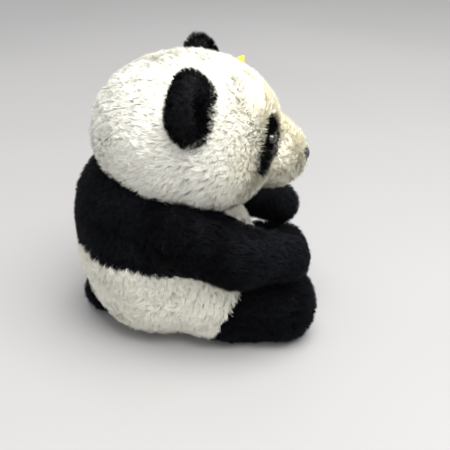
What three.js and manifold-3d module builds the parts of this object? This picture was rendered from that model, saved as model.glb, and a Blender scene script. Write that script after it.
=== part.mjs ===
// Seated plush panda: sewn fur skins over stuffed cores, one node for each piece.
// Millimetres, +Z up, the face looks along -Y and the panda's left side is +X.
import * as THREE from 'three';
import { mergeVertices } from 'three/addons/utils/BufferGeometryUtils.js';
import Module from 'manifold-3d';

// ---------------------------------------------------------------- dimensions
const SKIN = 3.0;              // fabric and pressed pile
const SEAM = 0.3;              // gap between sewn neighbours
const TIDY = 0.01;             // largest move allowed when tidying slivers
const CORE_GAP = 0.5;          // gap between a skin and its stuffing
const ARM_GAP = 3.5;            // play around the arm in its hollow of the torso
const ARM_HEAD_GAP = 8.5;      // play between the head and the arms
const EAR_GAP = 3.6;           // play between an ear and the head
const HEAD_GAP = 5.0;          // play between the head and what it rests on
const ARM_PLANE = 54;          // |x| of the flat face the arms hang against
const HIP_POINT = [0, -33.5, 44];
const HIP_NORMAL = [0, -0.8853, -0.4650];
const BAND_Z = 76.2;           // height of the black and white seam at y = 0
const BAND_SLOPE = 0.11;       // rise of that seam towards the back
const BIB_X = 44;              // half width of the white front panel
const BIB_Y = -2;              // the front panel lies in front of this plane
const NECK = [0, 20];          // centre of the neck plug
const NECK_R = 22;
const FRAME_Y = -3.2;          // moves the outline's centre over the origin
const EYE = [38, 204, 9.0];    // |x|, z and diameter of the eye domes
const NOSE_Z = 175;

const TORSO = [
  [[0, 44, 90], [78, 74, 88], 0], [[0, 50, 132], [64, 61, 52], 24],
  [[0, 4, 66], [66, 60, 60], 30], [[0, 36, 40], [72, 64, 43], 20],
  [[-42, -14, 44], [38, 38, 42], 14], [[42, -14, 44], [38, 38, 42], 14]];
const HEAD = [
  [[0, 9, 204], [80, 84, 64], 0], [[0, 20, 190], [72, 70, 54], 20],
  [[-34, -12, 182], [46, 50, 43], 24], [[34, -12, 182], [46, 50, 43], 24]];
const MUZZLE = [[[0, -70, 176], [33, 32, 28], 0], [[0, -60, 186], [30, 28, 28], 14]];
const LEG = [[[44, -56, 36.5], [32, 50, 37.5], 0], [[44, -86.4, 36.5], [28.5, 26, 36.8], 12],
  [[42, -27, 33], [36, 30, 33.5], 12]];
const TAIL = [[[0, 97, 20.5], [17, 20, 19], 0]];
// shoulder, wrist and paw of each arm, both given on the left side; the left arm hangs lower over the foot
const ARMS = {
  right: { a: [67.7, 14, 124], b: [74, -38, 103.5], c: [63, -83, 97], ra: 33.5, rb: 26.5, rc: 20, mid: [72, -30, 108] },
  left: { a: [68, 14, 123.5], b: [74, -40.5, 106.8], c: [66, -81, 92.5], ra: 33.4, rb: 25.6, rc: 19.5, mid: [72, -34, 110] },
};

// ---------------------------------------------------------------- solids
const wasm = await Module();
wasm.setup();
const { Manifold, CrossSection } = wasm;

function toManifold(geometry) {
  const g = geometry.clone();
  g.deleteAttribute('normal');
  g.deleteAttribute('uv');
  const m = mergeVertices(g, 1e-4);
  return new Manifold(new wasm.Mesh({
    numProp: 3,
    vertProperties: new Float32Array(m.attributes.position.array),
    triVerts: new Uint32Array(m.index.array),
  }));
}

function toGeometry(solid) {
  const mesh = solid.simplify(TIDY).getMesh();
  const g = new THREE.BufferGeometry();
  g.setAttribute('position', new THREE.BufferAttribute(new Float32Array(mesh.vertProperties), 3));
  g.setIndex(new THREE.BufferAttribute(new Uint32Array(mesh.triVerts), 1));
  g.computeVertexNormals();
  return g;
}

const smin = (a, b, k) => {
  const h = Math.min(1, Math.max(0, 0.5 + 0.5 * (b - a) / k));
  return b * (1 - h) + a * h - k * h * (1 - h);
};

function ellipsoid(p, c, r) {
  const q = [p[0] - c[0], p[1] - c[1], p[2] - c[2]];
  const k0 = Math.hypot(q[0] / r[0], q[1] / r[1], q[2] / r[2]);
  const k1 = Math.hypot(q[0] / r[0] ** 2, q[1] / r[1] ** 2, q[2] / r[2] ** 2);
  return k0 * (k0 - 1) / Math.max(k1, 1e-9);
}

function blobs(list) {
  return (p) => {
    let d = 0;
    for (const [c, r, k] of list) {
      const e = ellipsoid(p, c, r);
      d = k > 0 ? smin(d, e, k) : e;
    }
    return d;
  };
}

function cone(p, a, b, ra, rb) {
  const ba = [b[0] - a[0], b[1] - a[1], b[2] - a[2]];
  const pa = [p[0] - a[0], p[1] - a[1], p[2] - a[2]];
  const t = Math.min(1, Math.max(0,
    (pa[0] * ba[0] + pa[1] * ba[1] + pa[2] * ba[2]) / (ba[0] ** 2 + ba[1] ** 2 + ba[2] ** 2)));
  return Math.hypot(pa[0] - t * ba[0], pa[1] - t * ba[1], pa[2] - t * ba[2]) - (ra + t * (rb - ra));
}

// A closed round body: each vertex of a sphere is pushed out to where the field is `level`.
function body(field, centre, level, around, down) {
  const g = new THREE.SphereGeometry(1, around, down);
  g.rotateX(Math.PI / 2);
  const pos = g.attributes.position;
  const d = new THREE.Vector3();
  for (let i = 0; i < pos.count; i++) {
    d.fromBufferAttribute(pos, i).normalize();
    let lo = 0;
    let hi = 190;
    for (let s = 0; s < 40; s++) {
      const r = (lo + hi) / 2;
      const v = field([centre[0] + d.x * r, centre[1] + d.y * r, centre[2] + d.z * r]);
      if (v < level) lo = r; else hi = r;
    }
    pos.setXYZ(i, centre[0] + d.x * lo, centre[1] + d.y * lo, centre[2] + d.z * lo);
  }
  return toManifold(g);
}

const box = (x0, y0, z0, x1, y1, z1) => {
  const g = new THREE.BoxGeometry(x1 - x0, y1 - y0, z1 - z0);
  g.translate((x0 + x1) / 2, (y0 + y1) / 2, (z0 + z1) / 2);
  return toManifold(g);
};

const rod = (x, y, z0, z1, r, n = 24) => {
  const g = new THREE.CylinderGeometry(r, r, z1 - z0, n);
  g.rotateX(Math.PI / 2);
  g.translate(x, y, (z0 + z1) / 2);
  return toManifold(g);
};

// keeps the side of the plane that the normal points to
const keep = (solid, normal, offset) => solid.trimByPlane(normal, offset);

// a prism through the face along Y, from a 2-D outline in X and Z
function prismY(points, y0, y1) {
  const g = new THREE.ExtrudeGeometry(new THREE.Shape(points.map((p) => new THREE.Vector2(p[0], p[1]))),
    { depth: y1 - y0, bevelEnabled: false, curveSegments: 8 });
  g.rotateX(Math.PI / 2);
  g.translate(0, y1, 0);
  return toManifold(g);
}

function oval(cx, cz, rx, rz, tilt, n = 18) {
  const out = [];
  for (let i = 0; i < n; i++) {
    const t = 2 * Math.PI * i / n;
    const x = rx * Math.cos(t);
    const z = rz * Math.sin(t);
    out.push([cx + x * Math.cos(tilt) - z * Math.sin(tilt), cz + x * Math.sin(tilt) + z * Math.cos(tilt)]);
  }
  return out;
}

// ---------------------------------------------------------------- materials
const cloth = (color) => new THREE.MeshStandardMaterial({ color, roughness: 0.95, metalness: 0 });
const group = new THREE.Group();
function add(name, solid, material) {
  const mesh = new THREE.Mesh(toGeometry(solid.translate([0, FRAME_Y, 0])), material);
  mesh.name = name;
  group.add(mesh);
}
const WHITE = 0xe9e5d8;
const BLACK = 0x1a1b20;
const FILL = 0xf1f0ec;

// ---------------------------------------------------------------- head form
const headField = blobs(HEAD);
const HC = [0, 6, 198];
const headOuter = body(headField, HC, 0, 24, 16);
const headClear = body(headField, HC, ARM_HEAD_GAP, 18, 12);
const headInner = body(headField, HC, -SKIN, 16, 10);
const headCore = body(headField, HC, -SKIN - CORE_GAP, 16, 10);
const neckHole = rod(NECK[0], NECK[1], 120, 190, NECK_R + 5);

// ---------------------------------------------------------------- arms
const armField = (arm) => (p) => smin(cone(p, arm.a, arm.b, arm.ra, arm.rb), cone(p, arm.b, arm.c, arm.rb, arm.rc), 10);
// sections across the arm's own line, so that one body serves both ends
function armBody(arm, level, around, rings) {
  const g = new THREE.SphereGeometry(1, around, rings);
  // the sphere's poles lie along the arm
  const axis = new THREE.Vector3(arm.a[0] - arm.c[0], arm.a[1] - arm.c[1], arm.a[2] - arm.c[2]).normalize();
  const q = new THREE.Quaternion().setFromUnitVectors(new THREE.Vector3(0, 1, 0), axis);
  const field = armField(arm);
  const pos = g.attributes.position;
  const d = new THREE.Vector3();
  for (let i = 0; i < pos.count; i++) {
    d.fromBufferAttribute(pos, i).normalize();
    // spread the rings along the arm's length
    const ray = new THREE.Vector3(d.x, d.y * 1.9, d.z).normalize().applyQuaternion(q);
    let lo = 0;
    let hi = 150;
    for (let s = 0; s < 40; s++) {
      const r = (lo + hi) / 2;
      if (field([arm.mid[0] + ray.x * r, arm.mid[1] + ray.y * r, arm.mid[2] + ray.z * r]) < level) lo = r; else hi = r;
    }
    pos.setXYZ(i, arm.mid[0] + ray.x * lo, arm.mid[1] + ray.y * lo, arm.mid[2] + ray.z * lo);
  }
  return toManifold(g);
}
// the arm lies flat against the torso as far as the wrist, and the paw is round all over
const bodySide = (x) => keep(box(-60, -200, 0, x, 200, 250), [-0.8944, 0.4472, 0], -0.8944 * x - 0.4472 * 46);
function makeArm(arm) {
  const outer = armBody(arm, 0, 14, 12);
  const plain = outer.subtract(bodySide(ARM_PLANE + SEAM));
  const skinOuter = plain.subtract(headClear);
  const inner = armBody(arm, -SKIN, 10, 8).subtract(bodySide(ARM_PLANE - 4))
    .subtract(body(headField, HC, ARM_HEAD_GAP + SKIN, 18, 12));
  const core = armBody(arm, -SKIN - CORE_GAP, 10, 8).subtract(bodySide(ARM_PLANE + SEAM + SKIN + CORE_GAP))
    .subtract(body(headField, HC, ARM_HEAD_GAP + SKIN + CORE_GAP, 18, 12));
  // the skin is open on the side that is sewn to the torso, inside the armhole
  const hole = box(ARM_PLANE - 6, -24, 96, ARM_PLANE + 6, 40, 150);
  return {
    skin: skinOuter.subtract(inner.intersect(outer.subtract(bodySide(ARM_PLANE + SEAM + SKIN)).add(hole))),
    fill: core,
  };
}
const arms = { right: makeArm(ARMS.right), left: makeArm(ARMS.left) };

// ---------------------------------------------------------------- legs
const legField = blobs(LEG);
const LC = [45, -66, 38];
const legPlane = (solid, gap) => keep(solid, HIP_NORMAL,
  HIP_POINT[0] * HIP_NORMAL[0] + HIP_POINT[1] * HIP_NORMAL[1] + HIP_POINT[2] * HIP_NORMAL[2] + gap);
const legOuter = keep(legPlane(body(legField, LC, 0, 18, 12), SEAM / 2), [0, 0, 1], 0);
const legInner = keep(legPlane(body(legField, LC, -SKIN, 12, 8), SKIN), [0, 0, 1], SKIN);
const legCore = keep(legPlane(body(legField, LC, -SKIN - CORE_GAP, 12, 8), SKIN + CORE_GAP), [0, 0, 1], SKIN + CORE_GAP);
const hipHole = legPlane(body(legField, LC, -9, 12, 8), -8).subtract(legPlane(body(legField, LC, 0, 12, 8), 8));
const legShell = legOuter.subtract(legInner).subtract(hipHole);
// the sole is the flat oval of the foot that meets the floor
const soleOval = (grow, n = 16) => {
  const g = new THREE.CylinderGeometry(1, 1, 30, n);
  g.rotateX(Math.PI / 2);
  g.scale(20 + grow, 26 + grow, 1);
  g.translate(46, -76, 2);
  return toManifold(g);
};
const soleCut = soleOval(SEAM / 2);
const solePiece = legShell.intersect(soleOval(-SEAM / 2));

// ---------------------------------------------------------------- torso form
const torsoField = blobs(TORSO);
const TC = [0, 32, 84];

function carveTorso(solid, extra) {
  const legHalf = legPlane(box(5, -140, -10, 130, 20, 84), -extra);
  const legRoom = legHalf.subtract(box(0, -200, 72, 140, 60, 200))
    .add(legPlane(body(legField, LC, 2.5 + extra, 12, 8), -extra));
  const room = (arm) => keep(body(armField(arm), [72, -8, 114], ARM_GAP + extra, 16, 12), [1, 0, 0], ARM_PLANE - extra);
  const head = body(headField, HC, HEAD_GAP + extra, 18, 12);
  return solid
    .subtract(legRoom).subtract(legRoom.mirror([1, 0, 0]))
    .subtract(room(ARMS.left)).subtract(room(ARMS.right).mirror([1, 0, 0]))
    .subtract(head);
}

const torsoOuter = keep(carveTorso(body(torsoField, TC, 0, 24, 16), 0), [0, 0, 1], 0);
const torsoInner = keep(carveTorso(body(torsoField, TC, -SKIN, 16, 10), SKIN), [0, 0, 1], SKIN);
const torsoCore = keep(carveTorso(body(torsoField, TC, -SKIN - CORE_GAP, 16, 10), SKIN + CORE_GAP), [0, 0, 1], SKIN + CORE_GAP);
const neckHoleTorso = rod(NECK[0], NECK[1], 90, 190, NECK_R + 3);
const torsoShell = torsoOuter.subtract(torsoInner).subtract(neckHoleTorso);

const bandN = [0, -BAND_SLOPE, 1];
const bandLen = Math.hypot(...bandN);
const bandU = bandN.map((v) => v / bandLen);
const bandOff = BAND_Z / bandLen;
const bib = box(-BIB_X, -140, -10, BIB_X, BIB_Y, 220);
const bibGap = box(-BIB_X - SEAM, -140, -10, BIB_X + SEAM, BIB_Y + SEAM, 220);
const upper = keep(torsoShell, bandU, bandOff + SEAM / 2).subtract(bibGap);
const lower = keep(torsoShell, bandU.map((v) => -v), -(bandOff - SEAM / 2)).subtract(bibGap);
const front = torsoShell.intersect(bib);

const largest = (solid) => {
  const parts = solid.decompose();
  return parts.reduce((a, b) => (a.volume() > b.volume() ? a : b));
};

add('back_panel_left', largest(keep(upper, [1, 0, 0], SEAM / 2)), cloth(BLACK));
add('back_panel_right', largest(keep(upper, [-1, 0, 0], SEAM / 2)), cloth(BLACK));
add('seat_panel', largest(lower), cloth(WHITE));
add('belly_panel', largest(front), cloth(WHITE));

// a bag of pellets sits low in the stuffing and keeps the toy upright
const pouchR = [34, 30, 13];
const pouchField = (level) => body((p) => ellipsoid(p, [0, 34, 22], pouchR), [0, 34, 22], level, 12, 8);
const neckSeat = rod(NECK[0], NECK[1], 112, 200, NECK_R + 1);
add('torso_stuffing', largest(torsoCore.subtract(neckSeat)
  .subtract(pouchField(0.5)).subtract(rod(0, 34, -5, 14, 4, 12))), cloth(FILL));
add('pellet_pouch', pouchField(0), cloth(0xc9c6bd));
add('neck_core', rod(NECK[0], NECK[1], 113, 150, NECK_R), cloth(FILL));

// ---------------------------------------------------------------- head pieces
const patchPoly = (s, grow) => oval(s * 36, 199.5, 11 + grow, 25.5 + grow, s * 0.64);
const patchCut = (s, grow) => prismY(patchPoly(s, grow), -120, -30);
const eyePos = (s) => {
  let lo = -110;
  let hi = 0;
  for (let i = 0; i < 40; i++) {
    const y = (lo + hi) / 2;
    if (headField([s * EYE[0], y, EYE[1]]) > 0) lo = y; else hi = y;
  }
  return [s * EYE[0], lo, EYE[1]];
};
function fieldNormal(field, p) {
  const h = 0.5;
  const n = [0, 1, 2].map((i) => {
    const a = [...p];
    const b = [...p];
    a[i] += h;
    b[i] -= h;
    return field(a) - field(b);
  });
  const l = Math.hypot(...n);
  return n.map((v) => v / l);
}
// a lathe about Z, turned so that its axis is `n` and moved to `p`
function latheAt(profile, p, n, segments = 14) {
  const g = new THREE.LatheGeometry(profile.map((v) => new THREE.Vector2(v[0], v[1])), segments);
  const q = new THREE.Quaternion().setFromUnitVectors(new THREE.Vector3(0, 1, 0), new THREE.Vector3(...n));
  g.applyQuaternion(q);
  g.translate(...p);
  return toManifold(g);
}

let headShell = headOuter.subtract(headInner).subtract(neckHole);
const muzzleField = blobs(MUZZLE);
const MC = [0, -72, 177];
const muzzleOuter = body(muzzleField, MC, 0, 18, 12);
const muzzleInner = body(muzzleField, MC, -2.4, 12, 8);
const muzzleCoreBody = body(muzzleField, MC, -2.4 - CORE_GAP, 12, 8);

const eyes = {};
for (const s of [-1, 1]) {
  const p = eyePos(s);
  const n = fieldNormal(headField, p);
  const at = (t) => [p[0] + n[0] * t, p[1] + n[1] * t, p[2] + n[2] * t];
  const r = EYE[2] / 2;
  // dome in front of the patch with a stem through it
  const dome = [[0, 4.6], [1.8, 4.2], [3.3, 3.1], [4.2, 1.8], [r, 0.6], [4.3, 0.3], [1.5, 0.3], [1.5, -12.4], [0, -12.4]].reverse();
  const hole = [[0, 6], [1.9, 6], [1.9, -13], [0, -13]].reverse();
  const washer = [[1.9, -8], [7, -8], [7, -10], [1.9, -10], [1.9, -8]].reverse();
  const washerRoom = [[0, 4], [7.5, 4], [7.5, -10.5], [2.4, -10.5], [2.4, -13.2], [0, -13.2]].reverse();
  eyes[s] = {
    dome: latheAt(dome, p, n), hole: latheAt(hole, p, n, 12),
    washer: latheAt(washer, p, n), room: latheAt(washerRoom, p, n), seat: at(0),
  };
}

const patches = {};
for (const s of [-1, 1]) {
  patches[s] = largest(headShell.intersect(patchCut(s, -SEAM / 2))).subtract(eyes[s].hole);
  headShell = headShell.subtract(patchCut(s, SEAM / 2));
}
const gussetHalf = 15;
const gusset = largest(headShell.intersect(box(-gussetHalf + SEAM, -200, 206, gussetHalf - SEAM, 200, 320)));
const sideCut = box(-gussetHalf, -200, 206 - SEAM, gussetHalf, 200, 320);
const sides = headShell.subtract(sideCut);
add('head_panel_left', largest(keep(sides, [1, 0, 0], SEAM / 2)), cloth(WHITE));
add('head_panel_right', largest(keep(sides, [-1, 0, 0], SEAM / 2)), cloth(WHITE));
add('head_gusset', gusset, cloth(WHITE));

let headFill = headCore.subtract(neckHole);
for (const s of [-1, 1]) headFill = headFill.subtract(eyes[s].room);
add('head_stuffing', largest(headFill), cloth(FILL));

// the muzzle is a cup sewn to the face, open towards it
const headSkinClear = body(headField, HC, SEAM, 24, 16);
add('muzzle_skin', largest(muzzleOuter.subtract(muzzleInner).subtract(headSkinClear)), cloth(0xe9e0c4));
add('muzzle_stuffing', largest(muzzleCoreBody.subtract(headSkinClear)), cloth(FILL));

const side = { '-1': 'right', 1: 'left' };
for (const s of [-1, 1]) {
  add(`eye_patch_${side[s]}`, patches[s], cloth(BLACK));
  add(`eye_${side[s]}`, eyes[s].dome, new THREE.MeshStandardMaterial({ color: 0x0b0a0c, roughness: 0.12, metalness: 0 }));
  add(`eye_washer_${side[s]}`, eyes[s].washer, new THREE.MeshStandardMaterial({ color: 0xd8d8d4, roughness: 0.5, metalness: 0 }));
}

// nose and mouth stitching lie on the muzzle skin
const noseSkin = body(muzzleField, MC, 1.6, 18, 12).subtract(body(muzzleField, MC, SEAM, 18, 12));
const nosePoly = [[-10, NOSE_Z + 5], [-6, NOSE_Z + 7], [6, NOSE_Z + 7], [10, NOSE_Z + 5], [10, NOSE_Z + 2],
  [4, NOSE_Z - 4], [1.5, NOSE_Z - 5], [-1.5, NOSE_Z - 5], [-4, NOSE_Z - 4], [-10, NOSE_Z + 2]].reverse();
add('nose_embroidery', largest(noseSkin.intersect(prismY(nosePoly, -130, -80))), cloth(0x16151a));
const mouthPoly = [[-0.9, NOSE_Z - 5.4], [0.9, NOSE_Z - 5.4], [0.9, NOSE_Z - 11], [5, NOSE_Z - 14.5], [9.5, NOSE_Z - 14],
  [9.5, NOSE_Z - 15.8], [5, NOSE_Z - 16.4], [0, NOSE_Z - 13.4], [-5, NOSE_Z - 16.4], [-9.5, NOSE_Z - 15.8],
  [-9.5, NOSE_Z - 14], [-5, NOSE_Z - 14.5], [-0.9, NOSE_Z - 11]].reverse();
add('mouth_stitching', largest(noseSkin.intersect(prismY(mouthPoly, -130, -80))), cloth(0x16151a));

// ---------------------------------------------------------------- ears
const EAR_R = [27, 30, 15];
function earParts(s) {
  const yaw = 24 * Math.PI / 180;
  const back = 9 * Math.PI / 180;
  const n = new THREE.Vector3(s * Math.sin(yaw) * Math.cos(back), -Math.cos(yaw) * Math.cos(back), Math.sin(back));
  const o = new THREE.Vector3(s * 0.74, 0, 0.67);
  o.addScaledVector(n, -o.dot(n)).normalize();
  const t = new THREE.Vector3().crossVectors(o, n);
  const c = new THREE.Vector3(s * 66, -1, 239).addScaledVector(o, 5);
  const turn = new THREE.Matrix4().makeBasis(t, o, n).setPosition(c);
  const shape = (grow, a, b) => {
    const g = new THREE.SphereGeometry(1, a, b);
    g.scale(EAR_R[1] + grow, EAR_R[0] + grow, EAR_R[2] + grow);
    g.applyMatrix4(turn);
    return toManifold(g);
  };
  const clear = body(headField, HC, EAR_GAP, 18, 12);
  const outer = shape(0, 14, 10).subtract(clear);
  const inner = shape(-2.2, 10, 8).subtract(body(headField, HC, 1.0, 18, 12));
  const core = shape(-2.2 - CORE_GAP, 10, 8).subtract(clear);
  const shell = outer.subtract(inner);
  const nn = [n.x, n.y, n.z];
  const off = n.dot(c);
  return {
    front: largest(keep(shell, nn, off + SEAM / 2)),
    back: largest(keep(shell, nn.map((v) => -v), -(off - SEAM / 2))),
    fill: largest(core), centre: c, o, t, n,
  };
}
for (const s of [-1, 1]) {
  const e = earParts(s);
  add(`ear_front_${side[s]}`, e.front, cloth(BLACK));
  add(`ear_back_${side[s]}`, e.back, cloth(BLACK));
  add(`ear_stuffing_${side[s]}`, e.fill, cloth(FILL));
}

// plain folded tab sewn into the crown seam by the left ear
const tab = new THREE.BoxGeometry(0.9, 8, 9);
let tabZ = 300;
while (headField([28, -36, tabZ]) > 0) tabZ -= 0.5;
tab.rotateY(0.25);
tab.translate(28, -36, tabZ + 3);
add('label_tab', largest(toManifold(tab).subtract(body(headField, HC, 0.4, 24, 16))), cloth(0xe3c22a));

// ---------------------------------------------------------------- limbs and tail
for (const s of [-1, 1]) {
  const flip = (solid) => (s > 0 ? solid : solid.mirror([1, 0, 0]));
  add(`arm_skin_${side[s]}`, flip(largest(arms[side[s]].skin)), cloth(BLACK));
  add(`arm_stuffing_${side[s]}`, flip(largest(arms[side[s]].fill)), cloth(FILL));
  add(`leg_skin_${side[s]}`, flip(largest(legShell.subtract(soleCut))), cloth(BLACK));
  add(`sole_${side[s]}`, flip(largest(solePiece)), cloth(BLACK));
  add(`leg_stuffing_${side[s]}`, flip(largest(legCore)), cloth(FILL));
}

const torsoClear = (gap) => body(torsoField, TC, gap, 24, 16);
const tailField = blobs(TAIL);
const tailOuter = body(tailField, TAIL[0][0], 0, 14, 10).subtract(torsoClear(2.5));
const tailInner = body(tailField, TAIL[0][0], -2.2, 10, 7).subtract(torsoClear(1.0));
add('tail_skin', largest(tailOuter.subtract(tailInner)), cloth(BLACK));
add('tail_stuffing', largest(body(tailField, TAIL[0][0], -2.2 - CORE_GAP, 10, 7).subtract(torsoClear(2.5))), cloth(FILL));

export default group;
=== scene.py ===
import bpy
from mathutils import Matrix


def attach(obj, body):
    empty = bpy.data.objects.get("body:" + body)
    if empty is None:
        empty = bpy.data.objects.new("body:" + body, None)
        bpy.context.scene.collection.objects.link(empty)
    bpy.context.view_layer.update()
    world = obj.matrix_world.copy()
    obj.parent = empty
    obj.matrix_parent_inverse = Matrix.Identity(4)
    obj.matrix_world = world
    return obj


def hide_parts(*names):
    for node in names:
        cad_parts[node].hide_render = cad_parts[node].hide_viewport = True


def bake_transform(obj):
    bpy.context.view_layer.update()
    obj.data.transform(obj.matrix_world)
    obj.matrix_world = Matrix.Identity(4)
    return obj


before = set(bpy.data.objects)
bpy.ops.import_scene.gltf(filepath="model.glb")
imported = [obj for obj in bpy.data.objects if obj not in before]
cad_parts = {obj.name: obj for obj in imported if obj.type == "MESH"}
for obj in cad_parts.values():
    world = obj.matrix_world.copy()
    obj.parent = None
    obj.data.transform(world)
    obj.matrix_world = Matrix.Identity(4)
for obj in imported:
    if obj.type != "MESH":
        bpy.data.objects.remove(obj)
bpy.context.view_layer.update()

import math
import bpy
import numpy as np
from mathutils import Matrix, Vector

FRAME_Y = -3.2                      # mm, the shift of the row frame
DENSITY = 1.9                       # strands for each square millimetre
rng = np.random.default_rng(20251)


# ------------------------------------------------------------------ camera
def photo_camera():
    az, el, dist = math.radians(272.0), math.radians(27.0), 750.0
    target = Vector((0.0, -26.0 + FRAME_Y, 98.0))
    back = Vector((math.sin(az) * math.cos(el), -math.cos(az) * math.cos(el), math.sin(el)))
    cam = bpy.data.cameras.new("camera")
    cam.sensor_fit = "HORIZONTAL"
    cam.angle = 2 * math.atan(225.0 / 750.0)
    cam.clip_start, cam.clip_end = 0.01, 50
    ob = bpy.data.objects.new("camera", cam)
    bpy.context.scene.collection.objects.link(ob)
    right = Vector((math.cos(az), math.sin(az), 0.0))
    up = back.cross(right)
    m = Matrix((right, up, back)).transposed().to_4x4()
    m.translation = (target + back * dist) / 1000.0
    ob.matrix_world = m
    bpy.context.scene.camera = ob


photo_camera()


# ------------------------------------------------------------------ shape of the toy, in mm
def ell(p, c, r, R=None):
    q = p - np.array(c, float)
    if R is not None:
        q = q @ R
    r = np.array(r, float)
    k0 = np.linalg.norm(q / r, axis=-1)
    k1 = np.linalg.norm(q / (r * r), axis=-1)
    return k0 * (k0 - 1) / np.maximum(k1, 1e-9)


def cone(p, a, b, ra, rb):
    a, b = np.array(a, float), np.array(b, float)
    ba = b - a
    t = np.clip(((p - a) @ ba) / (ba @ ba), 0, 1)
    return np.linalg.norm(p - a - t[..., None] * ba, axis=-1) - (ra + t * (rb - ra))


def smin(a, b, k):
    h = np.clip(0.5 + 0.5 * (b - a) / k, 0, 1)
    return b * (1 - h) + a * h - k * h * (1 - h)


def f_torso(p):
    d = ell(p, (0, 44, 90), (78, 74, 88))
    d = smin(d, ell(p, (0, 50, 132), (64, 61, 52)), 24)
    d = smin(d, ell(p, (0, 4, 66), (66, 60, 60)), 30)
    d = smin(d, ell(p, (0, 36, 40), (72, 64, 43)), 20)
    for s in (-1, 1):
        d = smin(d, ell(p, (s * 42, -14, 44), (38, 38, 42)), 14)
    return np.maximum(d, -p[..., 2])


def f_head(p):
    d = ell(p, (0, 9, 204), (80, 84, 64))
    d = smin(d, ell(p, (0, 20, 190), (72, 70, 54)), 20)
    for s in (-1, 1):
        d = smin(d, ell(p, (s * 34, -12, 182), (46, 50, 43)), 24)
    return d


def f_muzzle(p):
    return smin(ell(p, (0, -70, 176), (33, 32, 28)), ell(p, (0, -60, 186), (30, 28, 28)), 14)


def f_face(p):
    return smin(f_head(p), f_muzzle(p), 9)


def ear_frame(s):
    yaw, back = math.radians(24), math.radians(9)
    n = np.array([s * math.sin(yaw) * math.cos(back), -math.cos(yaw) * math.cos(back), math.sin(back)])
    o = np.array([s * 0.74, 0, 0.67])
    o -= n * (o @ n)
    o /= np.linalg.norm(o)
    t = np.cross(o, n)
    c = np.array([s * 66, -1, 239.0]) + 5 * o
    return c, t, o, n


def f_ear(s):
    c, t, o, n = ear_frame(s)
    R = np.stack([t, o, n], 1)

    lower = c + s * t * 2.6 + np.array([0, -2.0, 0])

    def field(p):
        q = (p - lower) @ R
        flat = (np.abs(q[:, 0] / 31.2) ** 2.9 + np.abs(q[:, 1] / 26.2) ** 2.9) ** (2 / 2.9)
        d = (np.sqrt(flat + (q[:, 2] / 14.5) ** 2) - 1) * 20
        # the front of the ear is dished
        dish = np.linalg.norm((q - np.array([0, 4, 24.0])) / np.array([1, 1, 0.75]), axis=-1) - 18.0
        return -smin(-d, dish, 6)
    return field


ARMS = {-1: ((67.7, 14, 124), (74, -38, 103.5), (63, -83, 97), 33.5, 26.5, 20, (72, -30, 108)),
        1: ((68, 14, 123.5), (74, -40.5, 106.8), (66, -81, 92.5), 33.4, 25.6, 19.5, (72, -34, 110))}


def f_arm(s):
    a, b, c = [np.array(q) * np.array([s, 1, 1]) for q in ARMS[s][:3]]
    ra, rb, rc = ARMS[s][3:6]
    return lambda p: smin(cone(p, a, b, ra, rb), cone(p, b, c, rb, rc), 10)


HIP_P = np.array([0, -33.5, 44.0])
HIP_N = np.array([0, -0.8853, -0.4650])


def f_leg(s):
    def field(p):
        d = ell(p, (s * 44, -56, 36.5), (32, 50, 37.5))
        d = smin(d, ell(p, (s * 44, -86.4, 36.5), (28.5, 26, 36.8)), 12)
        d = smin(d, ell(p, (s * 42, -27, 33), (36, 30, 33.5)), 12)
        d = np.maximum(d, -((p - HIP_P) @ HIP_N) - 1.0)
        return np.maximum(d, -p[..., 2])
    return field


def f_tail(p):
    return ell(p, (0, 97, 20.5), (17, 20, 19))


def f_body_arm(s):
    arm = f_arm(s)
    return lambda p: smin(f_torso(p), arm(p), 12)


def grad(field, p, h=0.6):
    g = np.stack([field(p + e) - field(p - e) for e in np.eye(3) * h], -1)
    return g / np.maximum(np.linalg.norm(g, axis=-1, keepdims=True), 1e-9)


def cast(field, centre, d, level, far=190.0):
    """Distance along each direction d from centre to where the field is level."""
    lo = np.zeros(len(d))
    hi = np.full(len(d), far)
    for _ in range(15):
        r = (lo + hi) / 2
        inside = field(centre + d * r[:, None]) < level
        lo = np.where(inside, r, lo)
        hi = np.where(inside, hi, r)
    return (lo + hi) / 2


# ------------------------------------------------------------------ noise
def hash3(i, seed):
    i = i.astype(np.int64)
    h = (i[..., 0] * 374761393 + i[..., 1] * 668265263 + i[..., 2] * 2147483647 + seed * 1274126177) & 0xFFFFFFFF
    h = ((h ^ (h >> 13)) * 1274126177) & 0xFFFFFFFF
    h = ((h ^ (h >> 16)) * 2246822519) & 0xFFFFFFFF
    return ((h ^ (h >> 15)) & 0xFFFFFF) / float(0xFFFFFF)


def vnoise(p, scale, seed):
    q = p / scale
    i = np.floor(q)
    f = q - i
    f = f * f * (3 - 2 * f)
    out = 0
    for a in (0, 1):
        for b in (0, 1):
            for c in (0, 1):
                w = (f[:, 0] if a else 1 - f[:, 0]) * (f[:, 1] if b else 1 - f[:, 1]) * (f[:, 2] if c else 1 - f[:, 2])
                out = out + w * hash3(i + np.array([a, b, c]), seed)
    return out


def nvec(p, scale, seed):
    return np.stack([vnoise(p, scale, seed + k) for k in range(3)], -1) * 2 - 1


def clumps(p, size, seed):
    """The nearest jittered cell point to each p, and its cell."""
    q = p / size
    base = np.floor(q)
    best = np.full(len(p), 1e9)
    point = np.zeros_like(p)
    cell = np.zeros_like(p)
    for a in (-1, 0, 1):
        for b in (-1, 0, 1):
            for c in (-1, 0, 1):
                k = base + np.array([a, b, c])
                j = np.stack([hash3(k, seed + m) for m in range(3)], -1)
                w = k + 0.15 + 0.7 * j
                d = ((w - q) ** 2).sum(-1)
                near = d < best
                best = np.where(near, d, best)
                point = np.where(near[:, None], w * size, point)
                cell = np.where(near[:, None], k, cell)
    return point, cell


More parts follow.
